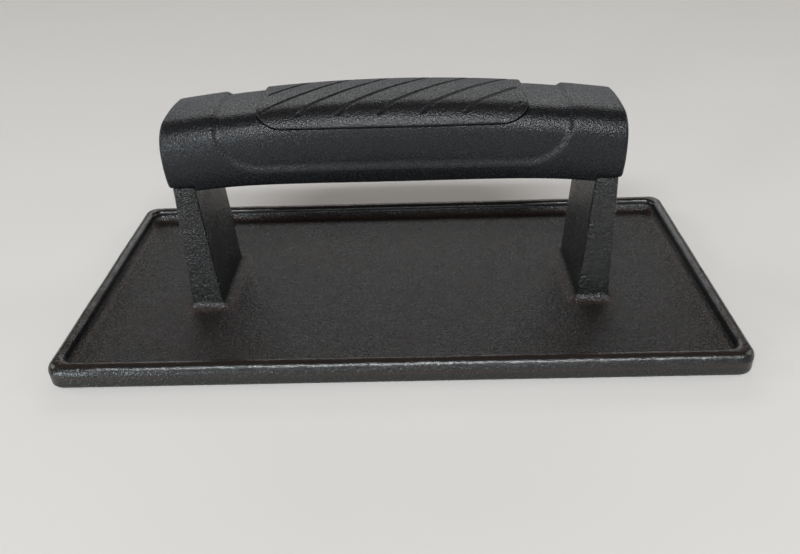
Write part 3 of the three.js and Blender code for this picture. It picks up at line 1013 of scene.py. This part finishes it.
class PRESS_OT_cover(bpy.types.Operator):
    """Builds the cover in the handle's underside, with its two screw bosses"""

    bl_idname = "press.cover"
    bl_label = "Underside Cover"

    def execute(self, context):
        s = context.scene.press_fixings
        form = HandleForm(context.scene.press_handle)
        piece = shown(cover_mesh(form, s), "underside_cover")
        centre = (SCREW_LOW.x + SCREW_HIGH.x) / 2
        low, chamfer, sunk = COVER_LOW.z - 2 * MM, 0.35 * MM, 1.2 * MM
        lip = form.underside(centre) + COVER_LOW.z - SHELL_LOW.z
        for x in (-centre, centre):
            floor = lip + sunk
            boss = [(0, floor), (s.boss, floor), (s.boss, s.boss_top), (0, s.boss_top)]
            combine(piece, shown(turned(boss, x, "boss"), "boss"), "UNION")
            bore = [
                (0, low),
                (s.head_space + chamfer + lip - low, low),
                (s.head_space + chamfer, lip),
                (s.head_space, lip + chamfer),
                (s.head_space, s.head_seat),
                (s.hole, s.head_seat),
                (s.hole, s.boss_top + MM),
                (0, s.boss_top + MM),
            ]
            combine(piece, shown(turned(bore, x, "bore"), "bore"), "DIFFERENCE")
        finishes = context.scene.press_finishes
        plastic = moulded_plastic("cover_plastic", finishes.plastic, finishes.plastic_rough)
        deliver(piece, plastic, "handle_plastic", "handle_cover")
        return {"FINISHED"}


def screw_mesh(s, centre):
    """A button-head screw with a hexagon socket, head down."""
    low, tip = SCREW_LOW.z, SCREW_HIGH.z
    seat = low + s.head_height
    soft, chamfer, count = 0.3 * MM, 0.8 * MM, 48
    mouth = s.key / 2 / math.cos(math.pi / 6) + 0.15 * MM
    rings = [
        hexagon(s.key * 0.5, low + s.key_depth + 0.3 * MM, centre),
        hexagon(s.key, low + s.key_depth, centre),
        hexagon(s.key, low + 0.2 * MM, centre),
        circle(mouth, low, centre, count),
    ]
    for t in quarter(8):
        radius = s.head_flat + (s.head - s.head_flat) * math.sin(t)
        rings.append(circle(radius, low + s.head_dome * (1 - math.cos(t)), centre, count))
    for t in quarter(3):
        radius = s.head - soft * (1 - math.cos(t))
        rings.append(circle(radius, seat - soft * (1 - math.sin(t)), centre, count))
    for radius, z in ((s.shank, seat), (s.shank, tip - chamfer), (s.shank - chamfer, tip)):
        rings.append(circle(radius, z, centre, count))
    bm = bmesh.new()
    made = loft(bm, rings)
    bmesh.ops.poke(bm, faces=[bm.faces.new(made[0])])
    cap(bm, made[-1], 0.2 * MM)
    return mesh_of(bm, "screw")


class PRESS_OT_fixings(bpy.types.Operator):
    """Builds the two screws and finishes the two nuts"""

    bl_idname = "press.fixings"
    bl_label = "Screws and Nuts"

    def execute(self, context):
        steel = black_steel(context.scene.press_finishes)
        centre = (SCREW_LOW.x + SCREW_HIGH.x) / 2
        for label, x in (("left", -centre), ("right", centre)):
            name = f"{label}_button_screw"
            piece = shown(screw_mesh(context.scene.press_fixings, x), name)
            deliver(piece, steel, "fastener_steel", f"{label}_screw")
            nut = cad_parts[f"{label}_nut"]
            for kept in nut.material_slots:
                kept.link = "OBJECT"
                kept.material = steel
        return {"FINISHED"}


# ---------- stage ----------


# What the room sends from each height: 0 is level with the floor and 1 is straight overhead.
ROOM_STOPS = (
    (0.0, (0.27, 0.29, 0.31)),
    (0.1, (0.27, 0.29, 0.31)),
    (0.35, (0.155, 0.15, 0.145)),
    (1.0, (0.09, 0.06, 0.045)),
)

# Each light's name, azimuth and elevation in degrees, distance, size, power in watts and tint.
WHITE, DAYLIGHT = (1, 1, 1), (0.94, 0.975, 1)
LIGHTS = (
    ("front_light", 0, 46, 1.6, (1.5, 0.17), 27, DAYLIGHT),
    ("low_front_light", 0, 17, 1.6, (1.4, 0.14), 3, DAYLIGHT),
    ("left_light", -42, 7, 1.6, (0.26, 0.24), 7, (0.84, 0.94, 1)),
    ("back_light", 180, 31, 1.8, (2.0, 0.4), 6.5, (0.98, 1, 1)),
    ("left_side", -100, 28, 1.8, (0.8, 0.5), 5, WHITE),
    ("right_side", 100, 28, 1.8, (0.8, 0.5), 4, WHITE),
)


def camera_turn(s):
    """The camera's right, up and back directions as a rotation."""
    ahead = Vector(
        (
            -math.sin(s.yaw) * math.cos(s.pitch),
            math.cos(s.yaw) * math.cos(s.pitch),
            -math.sin(s.pitch),
        )
    )
    level = Vector((math.cos(s.yaw), math.sin(s.yaw), 0))
    upright = level.cross(ahead)
    right = level * math.cos(s.roll) + upright * math.sin(s.roll)
    up = upright * math.cos(s.roll) - level * math.sin(s.roll)
    return Matrix((right, up, -ahead)).transposed().to_4x4()


def soft_light(name, azimuth, elevation, distance, size, power, tint):
    """A soft light that faces the press. Azimuth 0 stands in front, 90 to the right."""
    turn, rise = math.radians(azimuth), math.radians(elevation)
    away = Vector(
        (math.sin(turn) * math.cos(rise), -math.cos(turn) * math.cos(rise), math.sin(rise))
    )
    data = bpy.data.lights.new(name, "AREA")
    data.shape = "RECTANGLE"
    data.size, data.size_y = size
    data.energy = power
    data.color = tint
    light = bpy.data.objects.new(name, data)
    light.location = away * distance
    light.rotation_mode = "QUATERNION"
    light.rotation_quaternion = away.to_track_quat("Z", "Y")
    bpy.context.scene.collection.objects.link(light)


def room_light():
    """Even light from all around, dimmer overhead."""
    shader = Shader(bpy.data.worlds.new("room"), "Generated")
    shade = shader.node("ShaderNodeValToRGB", {"stops": ROOM_STOPS}, {0: shader.part("Z")})
    light = shader.node("ShaderNodeBackground", {}, {"Color": shade})
    shader.node("ShaderNodeOutputWorld", {}, {"Surface": light})
    bpy.context.scene.world = shader.owner


class PRESS_OT_stage(bpy.types.Operator):
    """Sets up the floor, the lights and the camera"""

    bl_idname = "press.stage"
    bl_label = "Stage"

    def execute(self, context):
        scene = context.scene
        s = scene.press_stage
        bm = bmesh.new()
        bmesh.ops.create_grid(bm, x_segments=1, y_segments=1, size=s.floor_size / 2)
        floor = shown(mesh_of(bm, "floor"), "floor")
        floor.location.z = -0.1 * MM  # just clear of the plate's underside
        floor.data.materials.append(pale_floor(scene.press_finishes))

        room_light()
        for light in LIGHTS:
            soft_light(*light)

        camera = bpy.data.objects.new("camera", bpy.data.cameras.new("camera"))
        camera.matrix_world = Matrix.Translation(s.camera_at) @ camera_turn(s)
        camera.data.sensor_width = 36
        camera.data.lens = s.lens
        camera.data.shift_x = s.shift_x
        camera.data.shift_y = s.shift_y
        camera.data.clip_start = 0.01
        scene.collection.objects.link(camera)
        scene.camera = camera
        scene.view_settings.view_transform = "Standard"
        return {"FINISHED"}


# ---------- panel and running ----------


class PRESS_PT_panel(bpy.types.Panel):
    """Lists the press's pieces"""

    bl_label = "Griddle Press"
    bl_idname = "PRESS_PT_panel"
    bl_space_type = "VIEW_3D"
    bl_region_type = "UI"
    bl_category = "Press"

    def draw(self, context):
        for operator in OPERATORS:
            self.layout.operator(operator.bl_idname)
        for group in GROUPS:
            box = self.layout.box()
            settings = getattr(context.scene, group)
            for name in settings.bl_rna.properties.keys():
                if name not in ("rna_type", "name"):
                    box.prop(settings, name)


OPERATORS = (
    PRESS_OT_stage,
    PRESS_OT_plate,
    PRESS_OT_handle,
    PRESS_OT_pad,
    PRESS_OT_cover,
    PRESS_OT_fixings,
)
CLASSES = (*GROUPS.values(), *OPERATORS, PRESS_PT_panel)


def register():
    for cls in CLASSES:
        bpy.utils.register_class(cls)
    for name, group in GROUPS.items():
        setattr(bpy.types.Scene, name, PointerProperty(type=group))


def unregister():
    for name in GROUPS:
        delattr(bpy.types.Scene, name)
    for cls in reversed(CLASSES):
        bpy.utils.unregister_class(cls)


def main():
    register()
    for operator in OPERATORS:
        group, name = operator.bl_idname.split(".")
        getattr(getattr(bpy.ops, group), name)()


if __name__ == "__main__":
    main()
